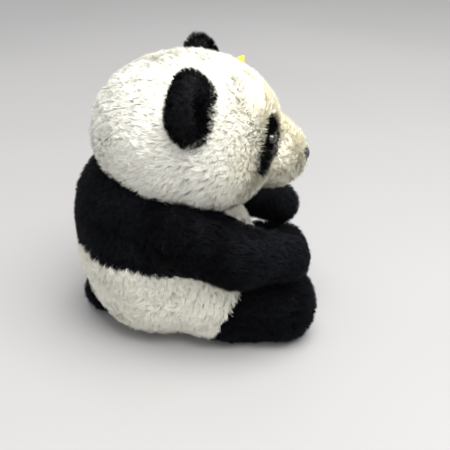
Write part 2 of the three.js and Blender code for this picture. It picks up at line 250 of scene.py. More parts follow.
def crumple(p, n, amp, scale, seed, squeeze=(1, 1, 1)):
    """Moves points off a smooth surface by soft lumps and creases, and turns their normals to suit."""
    sq = np.array(squeeze, float)

    def h(q):
        return amp * (vnoise(q * sq, scale, seed) * 1.3 + vnoise(q * sq, scale * 0.45, seed + 9) * 0.7 - 1.0)
    h0 = h(p)
    g = np.stack([(h(p + e) - h0) / 1.5 for e in np.eye(3) * 1.5], -1)
    g -= n * (g * n).sum(-1, keepdims=True)
    n2 = n - g
    return p + n * h0[:, None], n2 / np.linalg.norm(n2, axis=-1, keepdims=True)


# ------------------------------------------------------------------ roots of the pile
def roots(field, centre, level, density, keep=None, far=190.0):
    """Evenly scattered points on the surface field = level, with their normals."""
    centre = np.array(centre, float)
    probe = rng.normal(size=(4000, 3))
    probe /= np.linalg.norm(probe, axis=1, keepdims=True)
    r = cast(field, centre, probe, level, far)
    n = grad(field, centre + probe * r[:, None])
    w = r * r / np.maximum((n * probe).sum(-1), 0.12)
    area = 4 * math.pi * w.mean()
    top = np.quantile(w, 0.995)
    count = int(density * area * top / w.mean())
    out_p, out_n = [], []
    for start in range(0, count, 200000):
        m = min(200000, count - start)
        d = rng.normal(size=(m, 3))
        d /= np.linalg.norm(d, axis=1, keepdims=True)
        r = cast(field, centre, d, level, far)
        p = centre + d * r[:, None]
        n = grad(field, p)
        w = r * r / np.maximum((n * d).sum(-1), 0.12)
        ok = rng.random(m) < w / top
        p, n = p[ok], n[ok]
        if keep is not None:
            k = keep(p)
            p, n = p[k], n[k]
        out_p.append(p)
        out_n.append(n)
    return np.concatenate(out_p), np.concatenate(out_n)


def mesh_object(name, verts, quads=None, tris=None, normals=None, uv=None, smooth=True):
    me = bpy.data.meshes.new(name)
    nq = 0 if quads is None else len(quads)
    nt = 0 if tris is None else len(tris)
    me.vertices.add(len(verts))
    me.vertices.foreach_set("co", np.ascontiguousarray(verts, np.float32).ravel())
    loops = []
    if nq:
        loops.append(np.asarray(quads, np.int32).ravel())
    if nt:
        loops.append(np.asarray(tris, np.int32).ravel())
    loops = np.concatenate(loops)
    me.loops.add(len(loops))
    me.loops.foreach_set("vertex_index", loops)
    me.polygons.add(nq + nt)
    starts = np.concatenate([np.arange(nq) * 4, nq * 4 + np.arange(nt) * 3]).astype(np.int32)
    me.polygons.foreach_set("loop_start", starts)
    me.update(calc_edges=True)
    if smooth:
        me.polygons.foreach_set("use_smooth", np.ones(nq + nt, bool))
    if uv is not None:
        layer = me.uv_layers.new(name="OFBake")
        layer.data.foreach_set("uv", np.ascontiguousarray(uv[loops], np.float32).ravel())
    me.validate(clean_customdata=False)
    if normals is not None:
        me.normals_split_custom_set_from_vertices(np.ascontiguousarray(normals, np.float32))
    ob = bpy.data.objects.new(name, me)
    bpy.context.scene.collection.objects.link(ob)
    return ob


def strands(name, p, n, material, flow, length=9.0, width=0.5, lean=0.9, mess=0.8, clump=4.6, gather=0.5,
            warm=None, light=None, seed=1, floor=0.4, rough=0.2):
    """Ribbon strands from the roots p. flow gives the combed direction, warm and light the colour of each strand; on
    the black coat warm carries the painted sheen.
    """
    m = len(p)
    # the nap: combed direction with slow and quick wander, one lean for each clump
    point, cell = clumps(p, clump, seed * 17 + 3)
    cr = np.stack([hash3(cell, seed * 31 + k) for k in range(5)], -1)
    big, bcell = clumps(p, clump * 2.6, seed * 13 + 5)
    br = np.stack([hash3(bcell, seed * 37 + k) for k in range(4)], -1)
    wander = nvec(p, 26.0, seed + 50) * 0.55 + (br[:, :3] * 2 - 1) * 0.42 + (cr[:, :3] * 2 - 1) * 0.50 + rng.normal(size=(m, 3)) * 0.16
    d = flow(p) + wander * mess
    d -= n * (d * n).sum(-1, keepdims=True)
    d /= np.maximum(np.linalg.norm(d, axis=-1, keepdims=True), 1e-6)
    ang = lean * (0.80 + 0.36 * cr[:, 3]) + rng.normal(size=m) * 0.09
    ang = np.clip(ang, 0.15, 1.38)
    ln = length * (0.86 + 0.18 * cr[:, 4] + 0.10 * br[:, 3]) * (0.84 + 0.26 * rng.random(m))
    up = n * (ln * np.cos(ang))[:, None]
    out = d * (ln * np.sin(ang))[:, None]
    pull = point - p
    pull -= n * (pull * n).sum(-1, keepdims=True)
    pull *= gather * (0.6 + 0.6 * rng.random(m))[:, None]
    curl = rng.normal(size=(m, 3)) * 0.35
    ts = np.array([0.0, 0.36, 0.72, 1.0])
    # one strand in five stands up out of the nap
    wild = (rng.random(m) < 0.2)[:, None]
    ws = np.array([0.85, 1.0, 0.68, 0.0]) * width * 0.5
    side = np.cross(d, n)
    # turn the ribbon a little about its own line
    tw = rng.normal(size=m)[:, None] * 0.25
    side = side * np.cos(tw) + n * np.sin(tw)
    side /= np.linalg.norm(side, axis=-1, keepdims=True)
    verts = np.zeros((m, 7, 3), np.float32)
    nor = np.zeros((m, 7, 3), np.float32)
    uv = np.zeros((m, 7, 2), np.float32)
    if warm is None:
        warm = np.zeros(m)
    tone = rng.random(m)
    if light is None:
        light = np.ones(m)
    scatter = rng.normal(size=(m, 3)) * rough + (cr[:, :3] * 2 - 1) * rough * 0.9
    u = np.clip(warm, 0, 1) * 0.98 + 0.01
    for k, t in enumerate(ts):
        c = p + up * np.where(wild, t, t * (1.75 - 0.75 * t)) + out * t ** 1.5 + pull * t ** 1.2 + curl * t * t
        tangent = up * (1.75 - 1.5 * t) + out * 1.5 * max(t, 0.05) ** 0.5
        tangent /= np.maximum(np.linalg.norm(tangent, axis=-1, keepdims=True), 1e-6)
        nn = n + scatter + 0.25 * tangent * (0.3 + t)
        nn /= np.linalg.norm(nn, axis=-1, keepdims=True)
        # the ramp position runs low at the root, where the ramps hold painted shade down in the pile
        v = np.clip((0.10 + 0.80 * t) * (0.80 + 0.2 * light) * (0.86 + 0.14 * tone) + 0.06 * (tone - 0.5), 0.01, 0.99)
        if k < 3:
            for j, sgn in enumerate((-1, 1)):
                verts[:, 2 * k + j] = c + side * (ws[k] * sgn)
                nor[:, 2 * k + j] = nn
                uv[:, 2 * k + j, 0] = u
                uv[:, 2 * k + j, 1] = v
        else:
            verts[:, 6] = c
            nor[:, 6] = nn
            uv[:, 6, 0] = u
            uv[:, 6, 1] = v
    verts = verts.reshape(-1, 3)
    low = verts[:, 2] < floor
    verts[low, 2] = floor + 0.4 * rng.random(int(low.sum()))
    verts[:, 1] += FRAME_Y
    base = np.arange(m, dtype=np.int64)[:, None] * 7
    quads = np.concatenate([base + np.array([0, 1, 3, 2]), base + np.array([2, 3, 5, 4])])
    tris = base + np.array([4, 5, 6])
    ob = mesh_object(name, verts / 1000.0, quads, tris, nor.reshape(-1, 3), uv.reshape(-1, 2))
    ob.data.materials.append(material)
    return ob


LIMIT = 38000                        # strands in one object
COUNT = []


def fur(name, body, slot, p, n, material, flow, blend=None, warm=None, light=None, **kw):
    """Splits a pile into objects that stay small, and ties each to its body; with blend it only bakes each one's
    transform into its mesh.
    """
    parts = max(1, math.ceil(len(p) / LIMIT))
    w = warm(p) if warm is not None else None
    li = light(p) if light is not None else None
    lean = kw.pop("lean", 0.8)
    lean = lean(p) if callable(lean) else np.full(len(p), float(lean))
    # neighbouring strands stay together: cut by the longest extent
    axis = int(np.argmax(p.max(0) - p.min(0)))
    order = np.argsort(p[:, axis], kind="stable")
    made = []
    for i, idx in enumerate(np.array_split(order, parts)):
        ob = strands(f"{name}_{i + 1}" if parts > 1 else name, p[idx], n[idx], material, flow,
                     warm=None if w is None else w[idx], light=None if li is None else li[idx], lean=lean[idx], **kw)
        if blend:
            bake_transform(ob)
        else:
            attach(ob, body)
        made.append(ob)
    COUNT.append((name, len(p)))
    return made


# ------------------------------------------------------------------ materials
def nodes_of(mat):
    mat.use_nodes = True
    nt = mat.node_tree
    nt.nodes.clear()
    out = nt.nodes.new("ShaderNodeOutputMaterial")
    bs = nt.nodes.new("ShaderNodeBsdfPrincipled")
    nt.links.new(bs.outputs[0], out.inputs[0])
    return nt, bs


def ramp(nt, stops, source):
    r = nt.nodes.new("ShaderNodeValToRGB")
    el = r.color_ramp.elements
    while len(el) < len(stops):
        el.new(0.5)
    for e, (pos, col) in zip(el, stops):
        e.position = pos
        e.color = (*col, 1)
    nt.links.new(source, r.inputs[0])
    return r.outputs[0]


def fur_material(name, cool, warm, roughness, sheen, sheen_tint, specular):
    """cool and warm are colour ramps from root to tip, darker at the root as painted shade down in the pile; the
    strand's own u blends between them.
    """
    mat = bpy.data.materials.new(name)
    nt, bs = nodes_of(mat)
    uvn = nt.nodes.new("ShaderNodeUVMap")
    uvn.uv_map = "OFBake"
    sep = nt.nodes.new("ShaderNodeSeparateXYZ")
    nt.links.new(uvn.outputs[0], sep.inputs[0])
    a = ramp(nt, cool, sep.outputs[1])
    b = ramp(nt, warm, sep.outputs[1])
    mix = nt.nodes.new("ShaderNodeMix")
    mix.data_type = "RGBA"
    nt.links.new(sep.outputs[0], mix.inputs[0])
    nt.links.new(a, mix.inputs[6])
    nt.links.new(b, mix.inputs[7])
    nt.links.new(mix.outputs[2], bs.inputs["Base Color"])
    bs.inputs["Roughness"].default_value = roughness
    bs.inputs["Specular IOR Level"].default_value = specular
    bs.inputs["Sheen Weight"].default_value = sheen
    bs.inputs["Sheen Roughness"].default_value = 0.45
    bs.inputs["Sheen Tint"].default_value = (*sheen_tint, 1)
    return mat


def cloth_material(name, colour, dark, scale=900.0, bump=0.15, roughness=0.9, sheen=0.2):
    """Knitted backing cloth: two crossed waves with a fine noise."""
    mat = bpy.data.materials.new(name)
    nt, bs = nodes_of(mat)
    tc = nt.nodes.new("ShaderNodeTexCoord")
    w1 = nt.nodes.new("ShaderNodeTexWave")
    w1.inputs["Scale"].default_value = scale
    w1.bands_direction = "X"
    w2 = nt.nodes.new("ShaderNodeTexWave")
    w2.inputs["Scale"].default_value = scale
    w2.bands_direction = "Z"
    ns = nt.nodes.new("ShaderNodeTexNoise")
    ns.inputs["Scale"].default_value = scale * 0.22
    for t in (w1, w2, ns):
        nt.links.new(tc.outputs["Object"], t.inputs["Vector"])
    mul = nt.nodes.new("ShaderNodeMath")
    mul.operation = "MULTIPLY"
    nt.links.new(w1.outputs["Fac"], mul.inputs[0])
    nt.links.new(w2.outputs["Fac"], mul.inputs[1])
    add = nt.nodes.new("ShaderNodeMath")
    add.operation = "ADD"
    nt.links.new(mul.outputs[0], add.inputs[0])
    nt.links.new(ns.outputs["Fac"], add.inputs[1])
    half = nt.nodes.new("ShaderNodeMath")
    half.operation = "MULTIPLY"
    half.inputs[1].default_value = 0.6
    nt.links.new(add.outputs[0], half.inputs[0])
    col = ramp(nt, [(0.2, dark), (0.8, colour)], half.outputs[0])
    nt.links.new(col, bs.inputs["Base Color"])
    bp = nt.nodes.new("ShaderNodeBump")
    bp.inputs["Strength"].default_value = bump
    bp.inputs["Distance"].default_value = 0.0004
    nt.links.new(half.outputs[0], bp.inputs["Height"])
    nt.links.new(bp.outputs[0], bs.inputs["Normal"])
    bs.inputs["Roughness"].default_value = roughness
    bs.inputs["Sheen Weight"].default_value = sheen
    return mat


# white fur: darker and yellower at the root, painted shade down in the pile; the second ramp gives the cream tint
WHITE = fur_material(
    "white_fur",
    [(0.0, (0.82, 0.80, 0.71)), (0.35, (0.93, 0.92, 0.83)), (0.75, (0.975, 0.97, 0.885)), (1.0, (0.985, 0.98, 0.91))],
    [(0.0, (0.74, 0.65, 0.45)), (0.35, (0.88, 0.82, 0.60)), (0.75, (0.955, 0.92, 0.73)), (1.0, (0.98, 0.95, 0.80))],
    0.8, 0.15, (1.0, 0.98, 0.94), 0.15)
# black fur: darkest at the root, painted shade down in the pile; the second ramp lightens the tips to blue-grey,
# painted sheen speckles
BLACK = fur_material(
    "black_fur",
    [(0.0, (0.0004, 0.0004, 0.0006)), (0.5, (0.0010, 0.0011, 0.0016)), (1.0, (0.0032, 0.0036, 0.0052))],
    [(0.0, (0.0010, 0.0011, 0.0015)), (0.5, (0.0055, 0.0060, 0.0078)), (1.0, (0.0260, 0.0285, 0.0350))],
    0.6, 0.008, (0.75, 0.85, 1.0), 0.045)
WHITE_SKIN = cloth_material("white_backing", (0.90, 0.88, 0.83), (0.76, 0.74, 0.68))
BLACK_SKIN = cloth_material("black_backing", (0.006, 0.006, 0.008), (0.002, 0.002, 0.003))


# ------------------------------------------------------------------ skins under the pile
def grid_skin(name, field, centre, level, material, keep=None, around=120, down=80, far=190.0, thick=1.2):
    """The stuffed form, rounded out, as one sheet of cloth; a sheet cut by keep gets a real thickness."""
    th = np.linspace(0, math.pi, down + 1)
    ph = np.linspace(0, 2 * math.pi, around, endpoint=False)
    T, P = np.meshgrid(th[1:-1], ph, indexing="ij")
    d = np.stack([np.sin(T) * np.cos(P), np.sin(T) * np.sin(P), np.cos(T)], -1).reshape(-1, 3)
    d = np.concatenate([d, [[0, 0, 1.0], [0, 0, -1.0]]])
    centre = np.array(centre, float)
    r = cast(field, centre, d, level, far)
    v = centre + d * r[:, None]
    rows, cols = down - 1, around
    idx = np.arange(rows * cols).reshape(rows, cols)
    a, b = idx[:-1], idx[1:]
    q = np.stack([a, b, np.roll(b, -1, 1), np.roll(a, -1, 1)], -1).reshape(-1, 4)
    top, bot = rows * cols, rows * cols + 1
    t1 = np.stack([np.full(cols, top), idx[0], np.roll(idx[0], -1)], -1)
    t2 = np.stack([np.full(cols, bot), np.roll(idx[-1], -1), idx[-1]], -1)
    t = np.concatenate([t1, t2])
    if keep is not None:
        kq = keep(v[q].mean(1))
        kt = keep(v[t].mean(1))
        q, t = q[kq], t[kt]
        used = np.zeros(len(v), bool)
        used[q.ravel()] = True
        used[t.ravel()] = True
        remap = np.cumsum(used) - 1
        v, q, t = v[used], remap[q], remap[t]
    v = v.copy()
    v[:, 1] += FRAME_Y
    ob = mesh_object(name, v / 1000.0, q, t if len(t) else None)
    ob.data.materials.append(material)
    if keep is not None:
        sol = ob.modifiers.new("thickness", "SOLIDIFY")
        sol.thickness = thick / 1000.0
        sol.offset = -1
    return ob


def tie(ob, body, slot, *nodes, blend=None):
    if nodes:
        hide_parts(*nodes)
    if blend:
        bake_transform(ob)
    else:
        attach(ob, body)
    return ob


def row(x, y, z):
    return (x / 1000.0, (y + FRAME_Y) / 1000.0, z / 1000.0)


def unit(v):
    v = np.asarray(v, float)
    return v / np.maximum(np.linalg.norm(v, axis=-1, keepdims=True), 1e-9)


arm_f = {s: f_arm(s) for s in (-1, 1)}
leg_f = {s: f_leg(s) for s in (-1, 1)}
ear_f = {s: f_ear(s) for s in (-1, 1)}
SIDE = {-1: "right", 1: "left"}


# the white lower body meets the black band on a gently wandering line
def above_band(p):
    line = 84.2 + 0.11 * p[:, 1] + 1.6 * np.sin(p[:, 1] * 0.11 + p[:, 0] * 0.07) + 1.2 * np.sin(p[:, 1] * 0.047 + 1.0)
    return p[:, 2] > line


def in_bib(p):
    edge = 40 + 3 * np.sin(p[:, 2] * 0.05)
    return (np.abs(p[:, 0]) < edge) & (p[:, 1] < 6)


def torso_black(p):
    return above_band(p) & ~in_bib(p)


def torso_white(p):
    return ~torso_black(p)


def off(*fields):
    """Keeps what is outside all of these fields."""
    def keep(p):
        k = np.ones(len(p), bool)
        for f, lv in fields:
            k &= f(p) > lv
        return k
    return keep


# ---------------- patches over the eyes
def patch_value(p, s):
    """Below 1 inside the black patch round one eye."""
    x = p[:, 0] - s * 38.5
    z = p[:, 2] - 199.0
    c, sn = math.cos(s * 0.74), math.sin(s * 0.74)
    a = x * c + z * sn
    b = -x * sn + z * c
    return (np.abs(a / 13.2) ** 2.8 + np.abs(b / 26.8) ** 2.8) ** (1 / 2.8) + 0.03 * np.sin(b * 0.6) + np.where(p[:, 1] < -20, 0, 9)


def in_patch(p):
    return (patch_value(p, -1) < 1) | (patch_value(p, 1) < 1)


def in_leg_room(p):
    return ((p - HIP_P) @ HIP_N > 2.0) & (p[:, 2] < 72) & (np.abs(p[:, 0]) > 8)


# ------------------------------------------------------------------ skins
head_skin = grid_skin("head_skin", f_face, (0, -6, 196), -2.6, WHITE_SKIN, around=160, down=110)
tie(head_skin, "head", "white_fur", "head_panel_left", "head_panel_right", "head_gusset", "head_stuffing",
    "muzzle_skin", "muzzle_stuffing")

body_skin_black = grid_skin("body_skin_black", f_torso, (0, 32, 84), -2.6, BLACK_SKIN,
                            keep=lambda p: torso_black(p) & off((f_head, -6.0))(p), around=160, down=110)
tie(body_skin_black, "torso", "black_fur", "back_panel_left", "back_panel_right")
body_skin_white = grid_skin("body_skin_white", f_torso, (0, 32, 84), -2.6, WHITE_SKIN,
                            keep=lambda p: torso_white(p) & off((f_head, -6.0))(p) & ~in_leg_room(p), around=160, down=110)
tie(body_skin_white, "torso", "white_fur", "seat_panel", "belly_panel", "torso_stuffing", "pellet_pouch")

for s in (-1, 1):
    w = SIDE[s]
    mid = np.array(ARMS[s][6]) * np.array([s, 1, 1])
    sk = grid_skin(f"arm_skin_{w}_cloth", arm_f[s], mid, -2.6, BLACK_SKIN, around=90, down=70)
    tie(sk, f"arm_{w}", "black_fur", f"arm_skin_{w}", f"arm_stuffing_{w}",
        blend=("torso", row(s * 68, 46, 124), row(s * 72, -14, 112)))
    sk = grid_skin(f"leg_skin_{w}_cloth", leg_f[s], (s * 44, -66, 38), -2.6, BLACK_SKIN, around=90, down=70)
    tie(sk, f"leg_{w}", "black_fur", f"leg_skin_{w}", f"leg_stuffing_{w}", f"sole_{w}",
        blend=("torso", row(s * 60, -22, 40), row(s * 54, -62, 40)))
    c, t, o, n = ear_frame(s)
    sk = grid_skin(f"ear_skin_{w}", ear_f[s], c - 3 * n, -2.6, BLACK_SKIN, around=64, down=48, far=60.0)
    tie(sk, f"ear_{w}", "black_fur", f"ear_front_{w}", f"ear_back_{w}", f"ear_stuffing_{w}")
tail_skin = grid_skin("tail_cloth", f_tail, (0, 97, 20.5), -2.4, BLACK_SKIN, around=48, down=36, far=60.0)
tie(tail_skin, "tail", "black_fur", "tail_skin", "tail_stuffing")


# ------------------------------------------------------------------ combing
def comb_head(p):
    # away from the muzzle, back and down over the cheeks
    return unit(p - np.array([0, -95.0, 200.0])) * 0.75 + np.array([0, 0.12, -0.26])


def comb_muzzle(p):
    return unit(p - np.array([0, -112.0, 178.0])) * 0.8 + np.array([0, 0.0, -0.1])


def comb_down(p):
    return np.tile([0.0, 0.12, -0.62], (len(p), 1)) + unit(p * np.array([1, 1, 0.0]) - np.array([0, 40, 0.0])) * 0.12


def comb_dark(p):
    """Down the back, turning forward along the arms at the shoulder."""
    w = np.clip((44 - p[:, 1]) / 44, 0, 1) * np.clip((np.abs(p[:, 0]) - 36) / 16, 0, 1)
    w = (w * w * (3 - 2 * w))[:, None]
    return comb_down(p) * (1 - w) + np.array([0.0, -0.74, -0.26]) * w


def comb_leg(p):
    return np.tile([0.0, -0.42, -0.45], (len(p), 1))


# ------------------------------------------------------------------ colours along the coat
def warm_head(p):
    face = np.clip((-p[:, 1] - 8) / 70, 0, 1) * 0.62
    patchy = vnoise(p, 24, 7) * 0.30 + vnoise(p, 9, 8) * 0.18
    near = np.where(p[:, 0] < 0, 1.0, 0.5)
    # two warmer spots on each side of the head, at the cheek and higher up, stronger on the x<0 side
    warm_spots = np.exp(-(((p[:, 1] + 43) / 10) ** 2 + ((p[:, 2] - 197) / 12) ** 2)) * 0.65 * near
    warm_spots += np.exp(-(((p[:, 1] + 47) / 7) ** 2 + ((p[:, 2] - 232) / 6) ** 2)) * 0.25 * near
    return np.clip(face * (0.55 + patchy * 1.4) + warm_spots * (0.4 + patchy) + 0.05 * patchy, 0, 1)


def warm_body(p):
    return np.clip(0.10 + 0.20 * vnoise(p, 20, 17) + 0.10 * vnoise(p, 7, 18), 0, 1)


# painted sheen: blue-grey strand tips in speckles over the black coat stand in for the glints of its sheen
def painted_sheen_black(p):
    return np.clip(0.15 + 0.35 * vnoise(p, 14, 27) + 0.25 * vnoise(p, 5, 28) - 0.15, 0, 1)


# the back band gets more of these painted sheen speckles
def painted_sheen_back(p):
    return np.clip(0.26 + 0.5 * (vnoise(p, 14, 27) - 0.3) + 0.5 * (vnoise(p, 3.5, 28) - 0.45), 0, 1)


# painted sheen: blue-grey speckles, more of them towards the front of the foot
def painted_sheen_leg(p):
    lift = np.clip((-p[:, 1] - 70) / 40, 0, 1)
    return np.clip(0.02 + 0.30 * lift + 0.35 * (vnoise(p, 12, 47) - 0.4) + 0.25 * (vnoise(p, 5, 48) - 0.4), 0, 1)


# painted highlight: sheen speckles, lighter on the top and front of the arm where light falls; the back of the arm
# near the head, in its shade, stays dark
def painted_sheen_arm(p):
    lift = np.clip((-p[:, 1] - 22) / 40, 0, 1) * np.clip((p[:, 2] - 76) / 24, 0, 1)
    return np.clip(0.0 + 0.45 * lift + 0.35 * (vnoise(p, 12, 37) - 0.4) + 0.25 * (vnoise(p, 5, 38) - 0.4), 0, 1)


# ------------------------------------------------------------------ the coat
def near_patch(p):
    return np.clip(1.0 - (np.minimum(patch_value(p, -1), patch_value(p, 1)) - 1.0) / 0.45, 0, 1)


def front_of_hip(p):
    return ((p - HIP_P) @ HIP_N > 1.0) & (p[:, 2] < 73) & (np.abs(p[:, 0]) > 6)


def hip_edge(p):
    return ((p - HIP_P) @ HIP_N > -3.5) & (p[:, 2] < 74) & (np.abs(p[:, 0]) > 8)


# head: white with the patches left out, then the patches in black
p, n = roots(f_face, (0, -6, 196), -2.4, DENSITY, far=150.0)
hidden = (f_torso(p) < -7) & (p[:, 2] < 176)
on_muzzle = (f_muzzle(p) < f_head(p) - 1) & (p[:, 1] < -50)
patch = in_patch(p) & (f_muzzle(p) > f_head(p) - 5)
on_muzzle &= ~patch
nose_clear = (p[:, 1] < -80) & (np.abs(p[:, 0]) < 10.5) & (p[:, 2] < 182.5) & (p[:, 2] > 169.5 + 0.75 * np.maximum(np.abs(p[:, 0]) - 1.5, 0))
head_mask = ~hidden & ~patch & ~on_muzzle
a, b = crumple(p[head_mask], n[head_mask], 0.9, 20, 71)
fur("head_fur", "head", "white_fur", a, b, WHITE, comb_head, warm=warm_head,
    length=8.6, width=0.42, lean=lambda q: 0.74 - 0.42 * near_patch(q), mess=0.8, clump=4.0, gather=0.26, seed=1, rough=0.15)
m = on_muzzle & ~nose_clear & ~hidden
fur("muzzle_fur", "head", "cream_fur", p[m], n[m], WHITE, comb_muzzle, warm=lambda q: np.clip(0.40 + 0.30 * vnoise(q, 12, 9), 0, 1),
    length=8.0, width=0.42, lean=lambda q: 0.62 - 0.25 * near_patch(q), mess=0.7, clump=3.6, gather=0.25, seed=2, rough=0.15)
for s in (-1, 1):
    m = patch & (p[:, 0] * s > 0)
    w = SIDE[s]
    for ob in fur(f"eye_patch_fur_{w}", "head", "black_fur", p[m], n[m], BLACK, comb_head, warm=painted_sheen_black,
                  length=6.6, width=0.42, lean=0.62, mess=0.5, clump=3.6, gather=0.3, seed=3):
        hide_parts(f"eye_patch_{w}")

def ease(p, n, reach=3.0):
    """Lifts roots near a shoulder on to the surface that runs from the torso into the arm."""
    p, n = p.copy(), n.copy()
    for s in (-1, 1):
        both = f_body_arm(s)
        m = (arm_f[s](p) < 16) & (p[:, 0] * s > 0)
        q = p[m]
        for _ in range(5):
            q = q - grad(both, q) * (both(q) + 2.4)[:, None]
        p[m], n[m] = q, grad(both, q)
    k = np.ones(len(p), bool)
    for s in (-1, 1):
        k &= ~((p[:, 0] * s > 0) & (arm_f[s](p) < f_torso(p) - reach))
    return p[k], n[k]


# torso: the black band and the white seat and bib
p, n = roots(f_torso, (0, 32, 84), -2.4, DENSITY,
             keep=lambda q: off((f_head, -7.0), (arm_f[-1], -13.0), (arm_f[1], -13.0), (leg_f[-1], -5.0), (leg_f[1], -5.0))(q)
             & (q[:, 2] > 0.6) & ~front_of_hip(q))
black = torso_black(p) | hip_edge(p)
a, b = ease(p[black], n[black])
a, b = crumple(a, b, 0.7, 26, 73)
fur("band_fur", "torso", "black_fur", a, b, BLACK, comb_dark, warm=painted_sheen_back,
    length=8.8, width=0.42, lean=0.82, mess=0.75, clump=4.2, gather=0.34, seed=4)
a, b = crumple(p[~black], n[~black], 1.5, 24, 75, squeeze=(1, 0.8, 1.7))
fur("seat_fur", "torso", "white_fur", a, b, WHITE, comb_down, warm=warm_body,
    length=8.8, width=0.42, lean=0.76, mess=0.95, clump=4.2, gather=0.28, seed=5, rough=0.15)

for s in (-1, 1):
    w = SIDE[s]
    both = f_body_arm(s)
    mid = np.array(ARMS[s][6]) * np.array([s, 1, 1])
    # roots lie on the arm, eased out near the shoulder to where it blends into the torso
    p, n = roots(arm_f[s], mid, -2.4, DENSITY, keep=off((f_torso, -14.0), (f_head, -4.0)), far=140.0)
    for _ in range(5):
        p = p - grad(both, p) * (both(p) + 2.4)[:, None]
    n = grad(both, p)
    k = arm_f[s](p) < f_torso(p) + 3.0
    p, n = p[k], n[k]
    p, n = crumple(p, n, 0.7, 22, 77)
    fur(f"arm_fur_{w}", f"arm_{w}", "black_fur", p, n, BLACK, comb_dark, warm=painted_sheen_arm,
        blend=("torso", row(s * 68, 46, 124), row(s * 72, -14, 112)),
        length=8.6, width=0.42, lean=0.85, mess=0.65, clump=4.2, gather=0.34, seed=7 + s)
    p, n = roots(leg_f[s], (s * 44, -66, 38), -2.4, DENSITY,
                 keep=lambda q: ((q - HIP_P) @ HIP_N > -0.5) & (q[:, 2] > 0.4), far=110.0)
    p, n = crumple(p, n, 0.7, 22, 79)
    p[:, 2] = np.maximum(p[:, 2], 0.4)
    fur(f"leg_fur_{w}", f"leg_{w}", "black_fur", p, n, BLACK, comb_leg, warm=painted_sheen_leg,
        blend=("torso", row(s * 60, -22, 40), row(s * 54, -62, 40)),
        length=8.8, width=0.42, lean=0.80, mess=0.8, clump=4.4, gather=0.34, seed=10 + s)
    c, t, o, nn = ear_frame(s)
    p, n = roots(ear_f[s], c - 3 * nn, -2.4, DENSITY, keep=off((f_head, -3.0)), far=60.0)
    fur(f"ear_fur_{w}", f"ear_{w}", "black_fur", p, n, BLACK,
        lambda q, o=o, c=c: unit(q - (c - 10 * o)) * 0.5 + np.array([0, 0.15, 0.0]), warm=painted_sheen_black,
        length=8.0, width=0.42, lean=0.70, mess=0.8, clump=4.0, gather=0.4, seed=13 + s)
p, n = roots(f_tail, (0, 97, 20.5), -2.4, DENSITY, keep=off((f_torso, -5.0)), far=60.0)
fur("tail_fur", "tail", "black_fur", p, n, BLACK, lambda q: np.tile([0, 0.5, -0.3], (len(q), 1)), warm=painted_sheen_black,
    length=9.0, width=0.42, lean=0.7, mess=0.8, clump=4.6, gather=0.45, seed=16)


# ------------------------------------------------------------------ neck plug
def lathe(name, profile, origin, axis, segments=40):
    """A turned form about axis at origin; profile is (radius, height) from one pole to the other, in mm."""
    axis = unit(axis)
    ref = np.array([1.0, 0, 0]) if abs(axis[0]) < 0.8 else np.array([0, 1.0, 0])
    a = unit(np.cross(axis, ref))
    b = np.cross(axis, a)
    prof = np.array(profile, float)
    ph = np.linspace(0, 2 * math.pi, segments, endpoint=False)
    ring = np.cos(ph)[:, None] * a + np.sin(ph)[:, None] * b
    inner = prof[1:-1]
    v = (np.array(origin) + inner[:, 1][:, None, None] * axis + inner[:, 0][:, None, None] * ring).reshape(-1, 3)
    poles = np.array([np.array(origin) + prof[0, 1] * axis, np.array(origin) + prof[-1, 1] * axis])
    v = np.concatenate([v, poles])
    rows = len(inner)
    idx = np.arange(rows * segments).reshape(rows, segments)
    q = np.stack([idx[:-1], np.roll(idx[:-1], -1, 1), np.roll(idx[1:], -1, 1), idx[1:]], -1).reshape(-1, 4)
    t1 = np.stack([np.full(segments, rows * segments), np.roll(idx[0], -1), idx[0]], -1)
    t2 = np.stack([np.full(segments, rows * segments + 1), idx[-1], np.roll(idx[-1], -1)], -1)
    v[:, 1] += FRAME_Y
    return mesh_object(name, v / 1000.0, q, np.concatenate([t1, t2]))


plug = lathe("neck_plug", [(0, 113.5), (15, 113.6), (20, 115), (21.6, 119), (21.8, 131), (21.4, 144), (19.5, 148.6), (14, 149.6), (0, 149.8)],
             (0, 20, 0), (0, 0, 1))
plug.data.materials.append(WHITE_SKIN)
tie(plug, "neck", "polyester_fill", "neck_core")

# ------------------------------------------------------------------ eyes
EYE_MAT = bpy.data.materials.new("eye_plastic")
nt, bs = nodes_of(EYE_MAT)
tc = nt.nodes.new("ShaderNodeTexCoord")
ns = nt.nodes.new("ShaderNodeTexNoise")
ns.inputs["Scale"].default_value = 900
nt.links.new(tc.outputs["Object"], ns.inputs["Vector"])
nt.links.new(ramp(nt, [(0.3, (0.004, 0.003, 0.003)), (0.7, (0.014, 0.009, 0.007))], ns.outputs["Fac"]), bs.inputs["Base Color"])
bs.inputs["Roughness"].default_value = 0.09
bs.inputs["Coat Weight"].default_value = 0.6
bs.inputs["Coat Roughness"].default_value = 0.04
for s in (-1, 1):
    w = SIDE[s]
    ys = np.linspace(-110, 0, 2000)
    line = np.stack([np.full(2000, s * 38.0), ys, np.full(2000, 204.0)], -1)
    at = line[np.argmax(f_head(line) < 0)]
    nv = grad(f_head, at[None])[0]
    eye = lathe(f"eye_dome_{w}", [(0, 5.6), (1.1, 5.5), (2.2, 5.15), (3.1, 4.5), (3.9, 3.6), (4.35, 2.6), (4.5, 1.9), (4.62, 1.5),
                                  (4.9, 1.25), (4.95, 0.95), (4.6, 0.6), (1.6, 0.4), (1.5, -4), (1.5, -11.5), (0, -11.6)],
                at, nv, 36)
    eye.data.materials.append(EYE_MAT)
    tie(eye, "head", "eye_plastic", f"eye_{w}", f"eye_washer_{w}")


